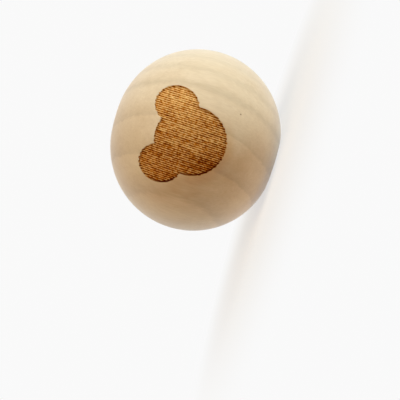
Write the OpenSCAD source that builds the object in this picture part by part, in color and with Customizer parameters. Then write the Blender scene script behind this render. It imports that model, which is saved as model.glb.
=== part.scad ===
// Turned wooden bead with a bear's head engraved on one side.
// The bore runs up +Z and the bead stands on one flat end at z = 0.
// The bear faces -Y with its ears up.

/* [Bead] */
// Diameter over the middle, mm
bead_diameter = 20; // [18:0.5:24]
// Length between the flat ends, mm
bead_length = 17.6; // [15:0.1:19]
// Diameter of each flat end, mm
end_flat_diameter = 6.7; // [6:0.1:9]

/* [Bore] */
// Diameter of the hole for the cord, mm
bore_diameter = 4.5; // [2:0.1:5]
// Width of the eased edge at each mouth of the hole, mm
mouth_easing = 0.4; // [0.1:0.05:0.45]

/* [Bear engraving] */
// Radius of the head, mm
head_radius = 3.3; // [2.4:0.05:3.6]
// How far the middle of the head lies below the middle of the bead, mm
head_drop = 0.04; // [0:0.02:0.6]
// Radius of the arc over the forehead, mm
forehead_radius = 3.05; // [2.4:0.05:3.2]
// How far the forehead stands above the round of the head, mm
forehead_rise = 0.4; // [0.2:0.01:0.7]
// Width of each ear, mm
ear_width = 3.78; // [3.2:0.02:4.4]
// Height of each ear, mm
ear_height = 4.34; // [3.6:0.02:4.8]
// Distance between the middles of the two ears, mm
ear_spacing = 5.82; // [4.6:0.02:6.2]
// Height of the ears' middles above the middle of the head, mm
ear_rise = 2.44; // [2:0.02:2.8]
// Depth burnt into the wood, mm
engraving_depth = 0.15; // [0.1:0.05:0.6]

/* [Hidden] */
$fn = 96;

// One arc runs from flat to flat through the widest point.
half_length = bead_length / 2;
arc_inset = (bead_diameter - end_flat_diameter) / 2;
arc_radius = (arc_inset * arc_inset + half_length * half_length) / (2 * arc_inset);
arc_middle = bead_diameter / 2 - arc_radius;

// How far cutting shapes reach past the surface that they cut.
overshoot = 1;

wood_colour = [0.87, 0.76, 0.6];

// Half section of the bead, or of the wood left below a given depth.
module turned_profile(depth) {
    intersection() {
        translate([arc_middle, 0])
            circle(r = arc_radius - depth);
        translate([0, -half_length])
            square([bead_diameter, bead_length]);
    }
}

module turned_body(depth = 0) {
    rotate_extrude()
        turned_profile(depth);
}

// A straight hole whose mouths widen at 45 degrees.
module bore() {
    bore_radius = bore_diameter / 2;
    outer_radius = bore_radius + mouth_easing + overshoot;
    outer_end = half_length + overshoot;
    inner_end = half_length - mouth_easing;
    rotate_extrude()
        polygon([
            [0, -outer_end],
            [outer_radius, -outer_end],
            [bore_radius, -inner_end],
            [bore_radius, inner_end],
            [outer_radius, outer_end],
            [0, outer_end]
        ]);
}

module bear_outline() {
    circle(r = head_radius);
    translate([0, head_radius + forehead_rise - forehead_radius])
        circle(r = forehead_radius);
    for (side = [-1, 1])
        translate([side * ear_spacing / 2, ear_rise])
            scale([ear_width / ear_height, 1])
                circle(d = ear_height);
}

// The bear's outline pressed straight in from the front, down to an even depth.
module engraving() {
    difference() {
        translate([0, 0, -head_drop])
            rotate([90, 0, 0])
                linear_extrude(height = bead_diameter)
                    bear_outline();
        turned_body(engraving_depth);
    }
}

module bead() {
    color(wood_colour)
        translate([0, 0, half_length])
            difference() {
                turned_body();
                bore();
                engraving();
            }
}

bead();
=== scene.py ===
import math
import random

import bmesh
import bpy
from mathutils import Matrix, Vector, noise


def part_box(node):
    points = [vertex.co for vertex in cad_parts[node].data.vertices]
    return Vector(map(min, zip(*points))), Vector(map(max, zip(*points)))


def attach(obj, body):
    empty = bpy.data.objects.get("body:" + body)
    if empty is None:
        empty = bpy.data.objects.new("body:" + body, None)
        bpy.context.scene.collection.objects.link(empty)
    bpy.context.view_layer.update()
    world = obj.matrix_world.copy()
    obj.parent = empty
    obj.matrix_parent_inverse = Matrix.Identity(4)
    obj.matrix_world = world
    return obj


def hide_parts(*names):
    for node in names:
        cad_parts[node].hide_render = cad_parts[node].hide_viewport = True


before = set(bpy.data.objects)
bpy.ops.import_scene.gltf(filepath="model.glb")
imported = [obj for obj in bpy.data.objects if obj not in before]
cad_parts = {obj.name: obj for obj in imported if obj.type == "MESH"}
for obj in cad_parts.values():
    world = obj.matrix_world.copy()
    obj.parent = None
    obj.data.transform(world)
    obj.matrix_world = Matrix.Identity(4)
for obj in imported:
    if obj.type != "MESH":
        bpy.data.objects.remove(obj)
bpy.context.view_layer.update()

mm = 0.001
lowCorner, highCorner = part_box("bead")
beadLength = (highCorner.z - lowCorner.z) / mm
beadDiameter = (highCorner.x - lowCorner.x) / mm
beadMiddle = Vector((0, 0, (lowCorner.z + highCorner.z) / 2))
print("frame: bead", round(beadDiameter, 2), "x", round(beadLength, 2), "mm")

# the turned blank, all in mm, with heights measured from the middle of the bead
turning = {
    "endFlatDiameter": 6.7,
    "flatEdge": 0.05,  # the round side starts this far inside the edge of an end flat
    "boreDiameter": 4.5,
    "mouthEasing": 0.4,
    "softenPasses": 1,  # rounds the corners as tumbling does
    "softenShare": 0.5,
    "sandingDip": 0.012,  # slow unevenness left by the sanding
    "sandingWave": 3.5,
    # how fine the mesh is
    "rowStep": 0.28,
    "columnStep": math.radians(2.2),
    "flatStep": 0.14,
    "easingStep": 0.13,
    "boreStep": 0.7,
}

# the bear's head in mm, drawn from two circles and two ellipses on the middle of the bead
bear = {
    "headRadius": 3.3,
    "headDrop": 0.04,
    "foreheadRadius": 3.05,
    "foreheadRise": 0.4,
    "earWidth": 3.78,
    "earHeight": 4.34,
    "earSpacing": 5.82,
    "earRise": 2.44,
}

# how the head is burnt in, in mm: upright lines side by side, every other one on the way back
laser = {
    "depth": 0.15,
    "linePitch": 0.2045,
    "lineLean": 0.02,  # sideways run for each mm of height
    "grooveDepth": 0.06,
    "wallWidth": 0.11,
    "backlash": 0.033,  # lines burnt on the way back lie this far along
    "unevenEnds": 0.022,
    # how lines and ridges vary: noise steps from one to the next, start, waves for each mm, strength
    "variations": {
        "ridge": (5.3, 0.5, 4.1, 1.08),
        "pit": (7.1, 8.5, 4.9, 1.34),
        "streak": (3.7, 16.5, 0.25, 0.42),
    },
    "wayBackPaler": 0.11,  # lines burnt on the way back are a little shallower
    "darkSide": (-0.8, -0.6),  # sideways and up: the way towards the darker side, with more char on the outline, a darker burn and painted shade on the wood
    "edgeChar": 0.14,  # how dark the outline chars all round
    "sideChar": 0.14,  # more where the lines run along it
    "towardDarkSideChar": 0.8,  # and most on the darker side towards -x and down
    # the fine mesh over the bear
    "linesAside": 26,  # to each side
    "columnsPerLine": 4,
    "lowest": -4.0,
    "highest": 5.05,
    "rowStep": 0.06,
}

# what the mesh tells its materials at every point, and the values on bare wood
pointValues = {
    "Outline Edge": "outlineEdge",
    "Burn Edge": "burnEdge",
    "Relief": "relief",
    "Edge Char": "edgeChar",
}
bareValues = (9.0, 9.0, 0.0, 0.0)

halfLength = beadLength / 2
arcInset = (beadDiameter - turning["endFlatDiameter"]) / 2
arcRadius = (arcInset**2 + halfLength**2) / (2 * arcInset)
arcMiddle = beadDiameter / 2 - arcRadius
fineReach = laser["linesAside"] * laser["linePitch"]


def outerRadius(height):
    return arcMiddle + math.sqrt(arcRadius**2 - height**2)


def bearRounds():
    # middle and half sizes of each round: head, forehead and the two ears
    headRadius, foreheadRadius = bear["headRadius"], bear["foreheadRadius"]
    headMiddle = -bear["headDrop"]
    foreheadMiddle = headMiddle + headRadius + bear["foreheadRise"] - foreheadRadius
    earAside, earMiddle = bear["earSpacing"] / 2, headMiddle + bear["earRise"]
    return [
        (0, headMiddle, headRadius, headRadius),
        (0, foreheadMiddle, foreheadRadius, foreheadRadius),
        (-earAside, earMiddle, bear["earWidth"] / 2, bear["earHeight"] / 2),
        (earAside, earMiddle, bear["earWidth"] / 2, bear["earHeight"] / 2),
    ]


def nearestOutline(x, height):
    # distance from the outline, less than 0 inside, and the way the outline faces there
    nearest = (math.inf, 0.0, 0.0)
    for middleX, middleZ, halfWidth, halfHeight in bearRounds():
        aside, above = x - middleX, height - middleZ
        share = math.hypot(aside / halfWidth, above / halfHeight)
        away = math.hypot(aside, above)
        if share > 0 and away - away / share < nearest[0]:
            nearest = (away - away / share, aside / away, above / away)
    return nearest


def outlineChar(facingX, facingZ):
    jetX, jetZ = laser["darkSide"]
    towardDarkSide = max(0, facingX * jetX + facingZ * jetZ)
    return laser["edgeChar"] + laser["sideChar"] * abs(facingX) + laser["towardDarkSideChar"] * towardDarkSide**3


def lineShift(index):
    # how far along the bead a burnt line lies: every other one is burnt on the way back
    dice = random.Random(index)
    backlash = laser["backlash"] if index % 2 else -laser["backlash"]
    return backlash + dice.uniform(-1, 1) * laser["unevenEnds"]


def variation(kind, index, height):
    step, start, wavesPerMm, strength = laser["variations"][kind]
    return strength * noise.noise(Vector((index * step, start, height * wavesPerMm)))


def lineRelief(line, height):
    # about -1 down in a burnt line and 1 on top of the ridge between two, both broken up along the way
    groove = 0.5 + 0.5 * math.cos(2 * math.pi * line)
    index = math.floor(line + 0.5)
    ridge = 1 + variation("ridge", math.floor(line), height)
    pit = 1 + variation("pit", index, height)
    wayBack = laser["wayBackPaler"] if index % 2 else -laser["wayBackPaler"]
    return (1 - groove) * ridge - groove * pit + variation("streak", index, height) + wayBack


lastLine = math.ceil(beadDiameter / 2 / laser["linePitch"]) + 2
lineShifts = {index: lineShift(index) for index in range(-lastLine, lastLine + 1)}


def engravingAt(x, height):
    line = (x - laser["lineLean"] * height) / laser["linePitch"]
    shifted = height - lineShifts[math.floor(line + 0.5)]
    outlineEdge = nearestOutline(x, height)[0]
    burnEdge, facingX, facingZ = nearestOutline(x, shifted)
    return outlineEdge, burnEdge, lineRelief(line, height), outlineChar(facingX, facingZ)


def smooth(value):
    value = min(max(value, 0), 1)
    return value * value * (3 - 2 * value)


def spread(start, end, step):
    count = max(1, round(abs(end - start) / step))
    return [start + (end - start) * i / count for i in range(count)]


def sectionRows():
    # (radius, height) all the way round the section: lower end, outside, upper end, bore
    flatRadius = turning["endFlatDiameter"] / 2
    boreRadius = turning["boreDiameter"] / 2
    mouthRadius = boreRadius + turning["mouthEasing"]
    wallEnd = halfLength - turning["mouthEasing"]
    flatAngle = math.asin(halfLength / arcRadius)
    lowAngle = math.asin(laser["lowest"] / arcRadius)
    highAngle = math.asin(laser["highest"] / arcRadius)
    coarse, fine = turning["rowStep"] / arcRadius, laser["rowStep"] / arcRadius
    angles = spread(-flatAngle, lowAngle, coarse)
    angles += spread(lowAngle, highAngle, fine)
    angles += spread(highAngle, flatAngle, coarse)
    easing = spread(0, turning["mouthEasing"], turning["easingStep"])
    rows = [(r, -halfLength) for r in spread(mouthRadius, flatRadius, turning["flatStep"])]
    rows += [(arcMiddle + arcRadius * math.cos(a), arcRadius * math.sin(a)) for a in angles]
    rows += [(r, halfLength) for r in spread(flatRadius, mouthRadius, turning["flatStep"])]
    rows += [(mouthRadius - t, halfLength - t) for t in easing]
    rows += [(boreRadius, h) for h in spread(wallEnd, -wallEnd, turning["boreStep"])]
    rows += [(boreRadius + t, -wallEnd - t) for t in easing]
    return softened(rows)


def softened(rows):
    # only the corners at the ends move, because the rest is already smooth
    for _ in range(turning["softenPasses"]):
        moved = []
        for i, (radius, height) in enumerate(rows):
            before, after = rows[i - 1], rows[(i + 1) % len(rows)]
            nearEnd = abs(height) > halfLength - 2 * turning["mouthEasing"]
            share = turning["softenShare"] if nearEnd else 0
            moved.append((
                radius + share * ((before[0] + after[0]) / 2 - radius),
                height + share * ((before[1] + after[1]) / 2 - height),
            ))
        rows = moved
    return rows


def columnPlaces():
    # sideways places over the bear in mm, then shares of the way round the back
    columnWidth = laser["linePitch"] / laser["columnsPerLine"]
    backTurn = 2 * math.pi - 2 * math.asin(fineReach / (beadDiameter / 2))
    places = [("bear", x) for x in spread(-fineReach, fineReach, columnWidth)]
    places += [("back", share) for share in spread(0, 1, turning["columnStep"] / backTurn)]
    return places


def columnAngle(place, radius, height):
    # the columns over the bear follow the burnt lines and close in with the bead only above them
    part, value = place
    radius = max(radius, outerRadius(laser["highest"]))
    lean = laser["lineLean"] * height
    if part == "bear":
        return math.asin((value + lean) / radius)
    firstEdge = math.asin((fineReach + lean) / radius)
    lastEdge = 2 * math.pi - math.asin((fineReach - lean) / radius)
    return firstEdge + value * (lastEdge - firstEdge)


def surfacePoint(place, radius, height):
    # the finished surface in mm, sanded and burnt, and what the mesh tells its materials there
    angle = columnAngle(place, radius, height)
    x = radius * math.sin(angle)
    y = -radius * math.cos(angle)
    values = bareValues
    depth = 0.0
    if radius > turning["endFlatDiameter"] / 2 - turning["flatEdge"]:
        spot = Vector((x, y, height)) / turning["sandingWave"]
        depth = turning["sandingDip"] * (0.5 + 0.5 * noise.noise(spot))
        if y < 0:
            values = engravingAt(x, height)
            _, burnEdge, relief, _ = values
            burnt = smooth(-burnEdge / laser["wallWidth"])
            depth += burnt * (laser["depth"] - laser["grooveDepth"] / 2 * relief)
    scale = (radius - depth) / radius
    return (x * scale, y * scale, height), values


def makeBead():
    rows = sectionRows()
    places = columnPlaces()
    shape = bmesh.new()
    layers = {name: shape.verts.layers.float.new(name) for name in pointValues.values()}
    grid = []
    for radius, height in rows:
        ring = []
        for place in places:
            (x, y, z), values = surfacePoint(place, radius, height)
            vert = shape.verts.new((x * mm, y * mm, z * mm + beadMiddle.z))
            for layer, value in zip(layers.values(), values):
                vert[layer] = value
            ring.append(vert)
        grid.append(ring)
    boreEdge = (turning["boreDiameter"] + turning["mouthEasing"]) / 2
    columns = len(places)
    for i, ring in enumerate(grid):
        nextRing = grid[(i + 1) % len(grid)]
        drilled = max(rows[i][0], rows[(i + 1) % len(rows)][0]) < boreEdge
        for j in range(columns):
            k = (j + 1) % columns
            face = shape.faces.new((ring[j], ring[k], nextRing[k], nextRing[j]))
            face.smooth = True
            burnt = min(corner[layers["burnEdge"]] for corner in face.verts) < 0
            face.material_index = 2 if drilled else int(burnt)  # 0 is bare, 1 burnt
    bmesh.ops.recalc_face_normals(shape, faces=shape.faces)
    mesh = bpy.data.meshes.new("engravedBead")
    shape.to_mesh(mesh)
    shape.free()
    piece = bpy.data.objects.new("engravedBead", mesh)
    bpy.context.scene.collection.objects.link(piece)
    print("bead:", len(mesh.vertices), "points,", len(mesh.polygons), "faces")
    return piece


# small helpers for building shader trees
def addNode(tree, kind, inputs=None, **settings):
    node = tree.nodes.new(kind)
    for name, value in settings.items():
        setattr(node, name, value)
    for key, value in (inputs or {}).items():
        connect(tree, value, node.inputs[key])
    return node


def connect(tree, value, socket):
    # another node's socket is linked, and anything else is a plain value
    if isinstance(value, bpy.types.NodeSocket):
        tree.links.new(value, socket)
    else:
        socket.default_value = value


def setConstants(node, values):
    for label, value in values.items():
        node.inputs[label].default_value = value


def calc(tree, operation, *values, clamp=False):
    node = addNode(tree, "ShaderNodeMath", dict(enumerate(values)), operation=operation)
    node.use_clamp = clamp
    return node.outputs[0]


def remap(tree, value, low, high, toLow=0.0, toHigh=1.0, smoothly=False):
    node = addNode(
        tree,
        "ShaderNodeMapRange",
        {0: value, 1: low, 2: high, 3: toLow, 4: toHigh},
        interpolation_type="SMOOTHSTEP" if smoothly else "LINEAR",
    )
    return node.outputs[0]


def blend(tree, share, first, second, how="MIX"):
    node = addNode(tree, "ShaderNodeMix", data_type="RGBA", blend_type=how)
    connect(tree, share, node.inputs[0])
    connect(tree, first, node.inputs[6])
    connect(tree, second, node.inputs[7])
    return node.outputs[2]


def times(tree, first, *others):
    for other in others:
        first = calc(tree, "MULTIPLY", first, other)
    return first


def vector(tree, operation, first, second=None):
    inputs = {0: first} if second is None else {0: first, 1: second}
    return addNode(tree, "ShaderNodeVectorMath", inputs, operation=operation).outputs


def stretched(tree, place, wave):
    # noise drawn out along the grain: waves for each mm on each axis, and levels of detail
    wavesPerMm, detail = wave
    squeezed = vector(tree, "MULTIPLY", place, wavesPerMm)[0]
    made = addNode(tree, "ShaderNodeTexNoise", {"Vector": squeezed, "Scale": 1.0, "Detail": detail})
    return made.outputs["Fac"]


def shade(red, green, blue):
    # an ordinary 0-255 colour as Blender's linear one
    def linear(value):
        value /= 255
        return value / 12.92 if value < 0.04045 else ((value + 0.055) / 1.055) ** 2.4

    return (linear(red), linear(green), linear(blue), 1)


def newGroup(name, inputs, outputs):
    group = bpy.data.node_groups.new(name, "ShaderNodeTree")
    for label, kind, value in inputs:
        socket = group.interface.new_socket(label, in_out="INPUT", socket_type=kind)
        if value is not None:
            socket.default_value = value
    for label, kind in outputs:
        group.interface.new_socket(label, in_out="OUTPUT", socket_type=kind)
    start = group.nodes.new("NodeGroupInput")
    end = group.nodes.new("NodeGroupOutput")
    return group, start, end


# nearly all that a noise texture gives lies between these
noiseSpan = (0.3, 0.7)

# pale close-grained wood
grain = {
    # growth rings, in mm from the bore the way the tree grew: darkens from, darkest at, pale again
    # at, and how dark
    "rings": [
        (-9.6, -8.6, -8.2, 0.7),
        (-6.6, -5.7, -5.0, 0.5),
        (-4.3, -3.6, -2.9, 0.6),
        (-2.2, -1.4, -0.7, 1.0),
        (0.5, 2.3, 2.5, 0.85),
        (3.6, 5.4, 5.58, 1.0),
        (6.6, 8.35, 8.55, 0.95),
    ],
    "ringBend": (0.6, 0.45),  # this far from its start to its darkest a ring has this share of its tone
    "growthWay": (-0.94, -0.34),
    "pithDistance": 63.0,
    "rampReach": 10.5,  # a little past the bead's own radius
    "wander": 0.15,  # how far the rings stray, slowly and then from fibre to fibre
    "tremble": 0.12,
    # waves for each mm along x, y and the grain, and levels of detail
    "waves": {
        "wander": ((0.22, 0.22, 0.05), 2),
        "tremble": ((1.4, 1.4, 0.12), 2),
        "fibre": ((6, 6, 0.5), 3),
        "thread": ((16, 16, 1.1), 2),
        "cloud": ((0.45, 0.45, 0.2), 3),
        "mottle": ((1.9, 1.9, 0.9), 3),
        "sparse": ((0.5, 0.5, 0.25), 2),
    },
    "earlyWood": shade(226, 208, 179),
    "lateWood": shade(209, 190, 160),
    "fibreTint": shade(232, 224, 212),
    "cloudTint": shade(238, 228, 214),
    "mottleTint": shade(236, 230, 220),
    # noise from and to, then the tint's share at each
    "fibreSpan": (0.36, 0.64),
    "cloudSpan": (0.35, 0.7, 0.0, 0.35),
    "mottleSpan": (*noiseSpan, 0.0, 0.35),
    "fibreShare": 0.6,  # of the streaks, and the finer threads make up the rest
    "streakHeight": 0.35,
    "fleckCells": (5.5, 5.5, 1.1),  # for each mm
    "fleckEdge": (0.3, 0.1),  # from nothing to full, as shares of a cell
    "fleckSparse": (0.45, 0.62),
    "fleckRoughness": 0.15,
    "fleckColour": shade(206, 174, 130),
    "speckPlace": (3.85, -8.4, -3.75),  # one dark pin mark, mm from the middle of the bead
    "speckEdge": (0.13, 0.05),
    "speckDepth": 0.3,
    "speckColour": shade(132, 92, 56),
    "roughness": (*noiseSpan, 0.42, 0.54),
    "turnedLook": {"Ring Contrast": 0.9, "Fibre Contrast": 0.42, "Fleck Strength": 0.3},
    "turnedBump": {"Strength": 0.35, "Distance": 0.03 * mm},
    "polishedGloss": {"IOR": 1.5, "Coat Weight": 0.6, "Coat Roughness": 0.3},
    "drilledLook": {"Ring Contrast": 0.9, "Fibre Contrast": 0.9, "Fleck Strength": 0.8},
    "drilledBump": {"Strength": 0.8, "Distance": 0.06 * mm},
    "drilledTint": shade(176, 132, 84),
    "drilledTintShare": 0.75,
    "drilledGloss": {"Roughness": 0.8},
}


def ringRamp(tree, place):
    # pale at the start of each year, darker towards its end, then a quicker step back
    growthX, growthY = grain["growthWay"]
    pith = (-growthX * grain["pithDistance"], -growthY * grain["pithDistance"], 0)
    flat = vector(tree, "MULTIPLY", place, (1, 1, 0))[0]
    away = vector(tree, "DISTANCE", flat, pith)["Value"]
    grown = calc(tree, "SUBTRACT", away, grain["pithDistance"])
    for name in ("wander", "tremble"):
        astray = stretched(tree, place, grain["waves"][name])
        grown = calc(tree, "ADD", grown, remap(tree, astray, *noiseSpan, -grain[name], grain[name]))
    reach = grain["rampReach"]
    bendAt, bendTone = grain["ringBend"]
    ramp = addNode(tree, "ShaderNodeValToRGB", {0: remap(tree, grown, -reach, reach)})
    stops = ramp.color_ramp.elements
    stops[1].color = (0, 0, 0, 1)
    for start, darkest, end, tone in grain["rings"]:
        bend = start + bendAt * (darkest - start)
        for at, value in ((start, 0.0), (bend, bendTone * tone), (darkest, tone), (end, 0.0)):
            stops.new((at + reach) / (2 * reach)).color = (value, value, value, 1)
    return ramp.outputs[0]


def makeGrowthGrain():
    group, start, end = newGroup(
        "growthGrain",
        [
            ("Place", "NodeSocketVector", None),
            ("Ring Contrast", "NodeSocketFloat", 0.85),
            ("Fibre Contrast", "NodeSocketFloat", 0.5),
            ("Fleck Strength", "NodeSocketFloat", 0.5),
        ],
        [
            ("Colour", "NodeSocketColor"),
            ("Late Wood", "NodeSocketFloat"),
            ("Height", "NodeSocketFloat"),
            ("Roughness", "NodeSocketFloat"),
        ],
    )
    place = start.outputs["Place"]
    late = ringRamp(group, place)
    fibre, thread, cloud, mottle, sparse = (
        stretched(group, place, grain["waves"][name])
        for name in ("fibre", "thread", "cloud", "mottle", "sparse")
    )
    cells = vector(group, "MULTIPLY", place, grain["fleckCells"])[0]
    dashes = addNode(group, "ShaderNodeTexVoronoi", {"Vector": cells, "Scale": 1.0}).outputs["Distance"]
    fleck = remap(group, dashes, *grain["fleckEdge"], smoothly=True)
    sparse = remap(group, sparse, *grain["fleckSparse"])
    fleck = times(group, fleck, sparse, start.outputs["Fleck Strength"])
    speck = vector(group, "DISTANCE", place, grain["speckPlace"])["Value"]
    speck = remap(group, speck, *grain["speckEdge"], smoothly=True)

    lateShare = times(group, late, start.outputs["Ring Contrast"])
    wood = blend(group, lateShare, grain["earlyWood"], grain["lateWood"])
    fibre = times(group, fibre, grain["fibreShare"])
    thread = times(group, thread, 1 - grain["fibreShare"])
    streak = calc(group, "ADD", fibre, thread)
    streakShare = times(group, remap(group, streak, *grain["fibreSpan"]), start.outputs["Fibre Contrast"])
    wood = blend(group, streakShare, wood, grain["fibreTint"], "MULTIPLY")
    wood = blend(group, remap(group, cloud, *grain["cloudSpan"]), wood, grain["cloudTint"], "MULTIPLY")
    wood = blend(group, remap(group, mottle, *grain["mottleSpan"]), wood, grain["mottleTint"], "MULTIPLY")
    wood = blend(group, fleck, wood, grain["fleckColour"])
    wood = blend(group, speck, wood, grain["speckColour"])
    height = times(group, streak, grain["streakHeight"])
    height = calc(group, "SUBTRACT", height, times(group, speck, grain["speckDepth"]))
    rough = remap(group, streak, *grain["roughness"])
    rough = calc(group, "ADD", rough, times(group, fleck, grain["fleckRoughness"]), clamp=True)
    connect(group, wood, end.inputs["Colour"])
    connect(group, late, end.inputs["Late Wood"])
    connect(group, height, end.inputs["Height"])
    connect(group, rough, end.inputs["Roughness"])
    return group


# the burnt bear, with painted light and shade on the burn, and painted shade on the wood round it
scorch = {
    # from the tops of the ridges to the bottoms of the burnt lines
    "tones": [(0.0, shade(229, 188, 122)), (0.45, shade(193, 118, 34)), (1.0, shade(98, 26, 0))],
    "reliefSpan": 0.9,  # of the relief, above and below, between the first tone and the last
    # what else darkens it, painted light and shade among it: from and to, and by how much at each, with
    # places in mm
    "darkening": {
        "crumbs": (*noiseSpan, -0.22, 0.22),
        "char": (*noiseSpan, -0.04, 0.04),
        # painted light and shade: the burn is paler on the +x side, which faces the side lamp, and darker
        # on the -x side
        "sideways": (-5, 5, 0.03, -0.25),
        "upright": (-3.2, 0.0, 0.1, 0.0),
        # painted shade: the burn is darker towards -x and down
        "towardDarkSide": (1.0, 3.8, 0.0, 0.2),
        "lateWood": (0.0, 1.0, 0.0, 0.1),
    },
    "crumbWaves": ((9, 9, 7), 2),
    "charWaves": ((0.9, 0.9, 0.5), 3),
    "burnStart": 0.03,  # mm to each side of the edge
    "edgeColour": shade(76, 17, 0),
    "edgeWidth": 0.14,
    "edgeFade": (1.6, 0.4),  # from nothing to full, as shares of the width
    # the wood round the bear is toasted close by and has painted shade farther out, both most on the
    # darker side towards -x and down: from and to in mm, then the share at each
    "toastColour": shade(237, 216, 181),
    "toastWidth": (1.3, 0.0),
    "toastTowardDarkSide": (-1.5, 2.5, 0.1, 1.0),
    "toastUpright": (1.5, -1.5),
    "paintedShadeColour": shade(226, 203, 170),
    "paintedShadeReach": (9.8, 4.2),
    "paintedShadeTowardDarkSide": (0.5, 4.2),
    "paintedShadeInward": (-2, -6),
    "paintedShadePatches": (*noiseSpan, 0.8, 1.0),
    "extraRoughness": 0.35,
    "crumbHeight": 1.5,  # against the fibres of bare wood
    "burntGloss": {"IOR": 1.45, "Specular IOR Level": 0.0},
}


def makeBurnAndPaintedShade():
    group, start, end = newGroup(
        "burnAndPaintedShade",
        [
            ("Place", "NodeSocketVector", None),
            ("Outline Edge", "NodeSocketFloat", 9.0),
            ("Burn Edge", "NodeSocketFloat", 9.0),
            ("Relief", "NodeSocketFloat", 0.0),
            ("Edge Char", "NodeSocketFloat", 0.0),
            ("Late Wood", "NodeSocketFloat", 0.5),
        ],
        [
            ("Colour", "NodeSocketColor"),
            ("Burnt", "NodeSocketFloat"),
            ("Toasted", "NodeSocketFloat"),
            ("Painted Shade", "NodeSocketFloat"),
            ("Height", "NodeSocketFloat"),
        ],
    )
    place = start.outputs["Place"]
    outlineEdge, burnEdge = start.outputs["Outline Edge"], start.outputs["Burn Edge"]
    sideways, inward, upright = addNode(group, "ShaderNodeSeparateXYZ", {0: place}).outputs
    flat = addNode(group, "ShaderNodeCombineXYZ", {"X": sideways, "Z": upright}).outputs[0]
    away = vector(group, "LENGTH", flat)["Value"]
    jetX, jetZ = laser["darkSide"]
    towardDarkSide = vector(group, "DOT_PRODUCT", flat, (jetX, 0, jetZ))["Value"]
    crumbs = stretched(group, place, scorch["crumbWaves"])
    char = stretched(group, place, scorch["charWaves"])
    burnt = remap(group, burnEdge, scorch["burnStart"], -scorch["burnStart"], smoothly=True)

    causes = {
        "crumbs": crumbs,
        "char": char,
        "sideways": sideways,
        "upright": upright,
        "towardDarkSide": towardDarkSide,
        "lateWood": start.outputs["Late Wood"],
    }
    dark = remap(group, start.outputs["Relief"], scorch["reliefSpan"], -scorch["reliefSpan"])
    # sideways and the pull towards the darker side add painted light and shade to the burn
    for name, cause in causes.items():
        dark = calc(group, "ADD", dark, remap(group, cause, *scorch["darkening"][name]))
    ramp = addNode(group, "ShaderNodeValToRGB", {0: dark})
    stops = ramp.color_ramp.elements
    stops[0].color = scorch["tones"][0][1]
    stops[1].color = scorch["tones"][-1][1]
    for at, tone in scorch["tones"][1:-1]:
        stops.new(at).color = tone

    # a charred line just inside the outline
    width = scorch["edgeWidth"]
    rim = calc(group, "ADD", burnEdge, outlineEdge)
    rim = calc(group, "ABSOLUTE", calc(group, "ADD", rim, width))
    rim = remap(group, rim, *(width * share for share in scorch["edgeFade"]), smoothly=True)
    rim = calc(group, "MULTIPLY", rim, start.outputs["Edge Char"], clamp=True)
    colour = blend(group, rim, ramp.outputs[0], scorch["edgeColour"])

    toasted = times(
        group,
        remap(group, outlineEdge, *scorch["toastWidth"], smoothly=True),
        remap(group, towardDarkSide, *scorch["toastTowardDarkSide"], smoothly=True),
        remap(group, upright, *scorch["toastUpright"], smoothly=True),
    )
    # painted shade on the wood round the bear, strongest towards -x and down and towards the front, in
    # patches
    paintedShade = times(
        group,
        remap(group, away, *scorch["paintedShadeReach"], smoothly=True),
        remap(group, towardDarkSide, *scorch["paintedShadeTowardDarkSide"], smoothly=True),
        remap(group, inward, *scorch["paintedShadeInward"], smoothly=True),
        remap(group, char, *scorch["paintedShadePatches"]),
    )
    height = times(group, calc(group, "SUBTRACT", crumbs, 0.5), burnt)
    connect(group, colour, end.inputs["Colour"])
    connect(group, burnt, end.inputs["Burnt"])
    connect(group, toasted, end.inputs["Toasted"])
    connect(group, paintedShade, end.inputs["Painted Shade"])
    connect(group, height, end.inputs["Height"])
    return group


def placeInMm(tree):
    coordinates = addNode(tree, "ShaderNodeTexCoord").outputs["Object"]
    shifted = vector(tree, "SUBTRACT", coordinates, beadMiddle)[0]
    scaled = addNode(tree, "ShaderNodeVectorMath", {0: shifted, "Scale": 1 / mm}, operation="SCALE")
    return scaled.outputs[0]


def newMaterial(name):
    material = bpy.data.materials.new(name)
    material.use_nodes = True
    tree = material.node_tree
    tree.nodes.clear()
    surface = tree.nodes.new("ShaderNodeBsdfPrincipled")
    output = tree.nodes.new("ShaderNodeOutputMaterial")
    tree.links.new(surface.outputs[0], output.inputs[0])
    return material, tree, surface


def makeOuterWood(name, growthGrain, burnAndPaintedShade, gloss):
    # the same wood bare or burnt: both groups meet in each, so the colour runs on across the edge
    material, tree, surface = newMaterial(name)
    place = placeInMm(tree)
    wood = addNode(tree, "ShaderNodeGroup", node_tree=growthGrain)
    burn = addNode(tree, "ShaderNodeGroup", node_tree=burnAndPaintedShade)
    connect(tree, place, wood.inputs["Place"])
    connect(tree, place, burn.inputs["Place"])
    setConstants(wood, grain["turnedLook"])
    for label, layer in pointValues.items():
        stored = addNode(tree, "ShaderNodeAttribute", attribute_name=layer)
        connect(tree, stored.outputs["Fac"], burn.inputs[label])
    connect(tree, wood.outputs["Late Wood"], burn.inputs["Late Wood"])
    bare = blend(tree, burn.outputs["Toasted"], wood.outputs["Colour"], scorch["toastColour"], "MULTIPLY")
    # painted shade on the bare wood round the bear
    bare = blend(tree, burn.outputs["Painted Shade"], bare, scorch["paintedShadeColour"], "MULTIPLY")
    colour = blend(tree, burn.outputs["Burnt"], bare, burn.outputs["Colour"])
    rough = times(tree, burn.outputs["Burnt"], scorch["extraRoughness"])
    rough = calc(tree, "ADD", wood.outputs["Roughness"], rough, clamp=True)
    height = times(tree, burn.outputs["Height"], scorch["crumbHeight"])
    height = calc(tree, "ADD", wood.outputs["Height"], height)
    bump = addNode(tree, "ShaderNodeBump", {"Height": height, **grain["turnedBump"]})
    connect(tree, colour, surface.inputs["Base Color"])
    connect(tree, rough, surface.inputs["Roughness"])
    connect(tree, bump.outputs[0], surface.inputs["Normal"])
    setConstants(surface, gloss)
    return material


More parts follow.
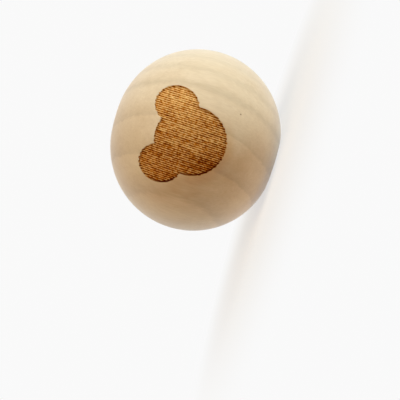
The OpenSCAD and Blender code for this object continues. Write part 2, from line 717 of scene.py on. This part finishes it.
def makeDrilledWood(growthGrain):
    material, tree, surface = newMaterial("drilledWood")
    wood = addNode(tree, "ShaderNodeGroup", node_tree=growthGrain)
    connect(tree, placeInMm(tree), wood.inputs["Place"])
    setConstants(wood, grain["drilledLook"])
    share, tint = grain["drilledTintShare"], grain["drilledTint"]
    colour = blend(tree, share, wood.outputs["Colour"], tint, "MULTIPLY")
    bump = addNode(tree, "ShaderNodeBump", {"Height": wood.outputs["Height"], **grain["drilledBump"]})
    connect(tree, colour, surface.inputs["Base Color"])
    connect(tree, bump.outputs[0], surface.inputs["Normal"])
    setConstants(surface, grain["drilledGloss"])
    return material


growthGrain = makeGrowthGrain()
burnAndPaintedShade = makeBurnAndPaintedShade()
engravedBead = makeBead()
for material in (
    makeOuterWood("turnedWood", growthGrain, burnAndPaintedShade, grain["polishedGloss"]),
    makeOuterWood("scorchedWood", growthGrain, burnAndPaintedShade, scorch["burntGloss"]),
    makeDrilledWood(growthGrain),
):
    engravedBead.data.materials.append(material)
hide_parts("bead")
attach(engravedBead, "root")
print("wood: grain, engraving and bore done")

studio = {
    "whiteLevel": 0.95,  # what the camera sees behind the bead
    "dayLevel": 0.02,  # what lights it
    # the table, in metres
    "tableSize": 0.8,
    "tableLook": {
        "Base Color": shade(245, 241, 235),
        "Roughness": 0.9,
        "Specular IOR Level": 0.0,
        "Emission Color": shade(255, 196, 120),
    },
    "bounceStrength": 0.14,  # the warm light that the table adds under the bead
    "bounceMiddle": (-0.010, 0.0, 0.0),
    "bounceReach": (0.004, 0.015),
    "nearGlow": 0.68,  # close to the bead the table shows more of its shadow
    "glowReach": (0.006, 0.032),
    # round softboxes, in mm: towards the bear's left, up and the camera, then watts and colour
    "lampDistance": 220,
    "lampSize": 140,
    "lamps": {
        "sideBox": ((1, 0.2, 0.3), 0.555, (0.85, 0.96, 0.99)),
        "overheadFrontBox": ((0, 0.8, 0.6), 0.165, (1.0, 0.78, 0.58)),
        "overheadFarBox": ((-0.5, 0.85, 0.2), 0.145, (1.0, 0.765, 0.4)),
        "backBox": ((0, 0.2, -1), 0.14, (1.0, 0.95, 0.88)),
    },
}

sight = {
    "distance": 64.3,  # mm
    "turn": 6.0,  # degrees from the front
    "roll": 73.0,  # degrees: seen this way, the bead lies almost on its side
    "beadAside": -0.49,  # mm off the middle of the view
    "beadAbove": 6.54,
    "lens": 51.84,
}


def sightAxes():
    # level and ahead as the camera stands
    turn = math.radians(sight["turn"])
    return Vector((math.cos(turn), math.sin(turn), 0)), Vector((-math.sin(turn), math.cos(turn), 0))


def makeCamera():
    level, ahead = sightAxes()
    plumb = Vector((0, 0, 1))
    roll = math.radians(sight["roll"])
    right = level * math.cos(roll) - plumb * math.sin(roll)
    up = level * math.sin(roll) + plumb * math.cos(roll)
    toBead = ahead * sight["distance"] + right * sight["beadAside"] + up * sight["beadAbove"]
    place = beadMiddle - toBead * mm
    lens = bpy.data.cameras.new("sight")
    lens.lens = sight["lens"]
    lens.sensor_width = 36
    lens.clip_start = 0.001
    camera = bpy.data.objects.new("sight", lens)
    camera.matrix_world = Matrix.Translation(place) @ Matrix((right, up, -ahead)).transposed().to_4x4()
    bpy.context.scene.collection.objects.link(camera)
    bpy.context.scene.camera = camera


def makeLamps():
    level, ahead = sightAxes()
    for name, ((aside, above, near), watts, colour) in studio["lamps"].items():
        way = (level * aside + Vector((0, 0, above)) - ahead * near).normalized()
        lamp = bpy.data.lights.new(name, "AREA")
        lamp.shape = "DISK"
        lamp.size = studio["lampSize"] * mm
        lamp.energy = watts
        lamp.color = colour
        holder = bpy.data.objects.new(name, lamp)
        holder.location = beadMiddle + way * studio["lampDistance"] * mm
        holder.rotation_euler = (-way).to_track_quat("-Z", "Y").to_euler()
        holder.visible_glossy = False
        bpy.context.scene.collection.objects.link(holder)


def whiteToCamera(tree):
    # 1 for what the camera and reflections see, 0 for what lights the bead
    rays = addNode(tree, "ShaderNodeLightPath")
    seen = calc(tree, "MAXIMUM", rays.outputs["Is Camera Ray"], rays.outputs["Is Glossy Ray"])
    return calc(tree, "MAXIMUM", seen, rays.outputs["Is Transmission Ray"])


def makeWorld():
    world = bpy.data.worlds.new("daylight")
    bpy.context.scene.world = world
    world.use_nodes = True
    tree = world.node_tree
    tree.nodes.clear()
    level = remap(tree, whiteToCamera(tree), 0, 1, studio["dayLevel"], studio["whiteLevel"])
    day = addNode(tree, "ShaderNodeBackground", {"Color": (1, 1, 1, 1), "Strength": level})
    output = tree.nodes.new("ShaderNodeOutputWorld")
    tree.links.new(day.outputs[0], output.inputs[0])


def makeTable():
    half = studio["tableSize"] / 2
    corners = [(-half, -half, 0), (half, -half, 0), (half, half, 0), (-half, half, 0)]
    mesh = bpy.data.meshes.new("table")
    mesh.from_pydata(corners, [], [(0, 1, 2, 3)])
    table = bpy.data.objects.new("table", mesh)
    bpy.context.scene.collection.objects.link(table)
    material, tree, surface = newMaterial("paleTable")
    setConstants(surface, studio["tableLook"])
    spot = addNode(tree, "ShaderNodeTexCoord").outputs["Object"]
    seen = whiteToCamera(tree)

    # a warm bounce that lights the bead and isn't seen
    fromMiddle = vector(tree, "DISTANCE", spot, studio["bounceMiddle"])["Value"]
    bounce = remap(tree, fromMiddle, *studio["bounceReach"], studio["bounceStrength"], 0.0, smoothly=True)
    bounce = times(tree, bounce, calc(tree, "SUBTRACT", 1.0, seen))
    connect(tree, bounce, surface.inputs["Emission Strength"])

    # white farther out, and everywhere in the sheen on the wood
    away = vector(tree, "LENGTH", spot)["Value"]
    white = remap(tree, away, *studio["glowReach"], studio["nearGlow"], 1.0, smoothly=True)
    white = times(tree, white, seen)
    inSheen = addNode(tree, "ShaderNodeLightPath").outputs["Is Glossy Ray"]
    white = calc(tree, "MAXIMUM", white, inSheen)
    glow = addNode(tree, "ShaderNodeEmission", {"Color": (1, 1, 1, 1), "Strength": studio["whiteLevel"]})
    mixed = addNode(tree, "ShaderNodeMixShader", {0: white, 1: surface.outputs[0], 2: glow.outputs[0]})
    output = next(node for node in tree.nodes if node.type == "OUTPUT_MATERIAL")
    tree.links.new(mixed.outputs[0], output.inputs[0])
    mesh.materials.append(material)


makeTable()
makeWorld()
makeLamps()
makeCamera()
bpy.context.scene.view_settings.view_transform = "Standard"
print("studio: table, lamps and camera placed")
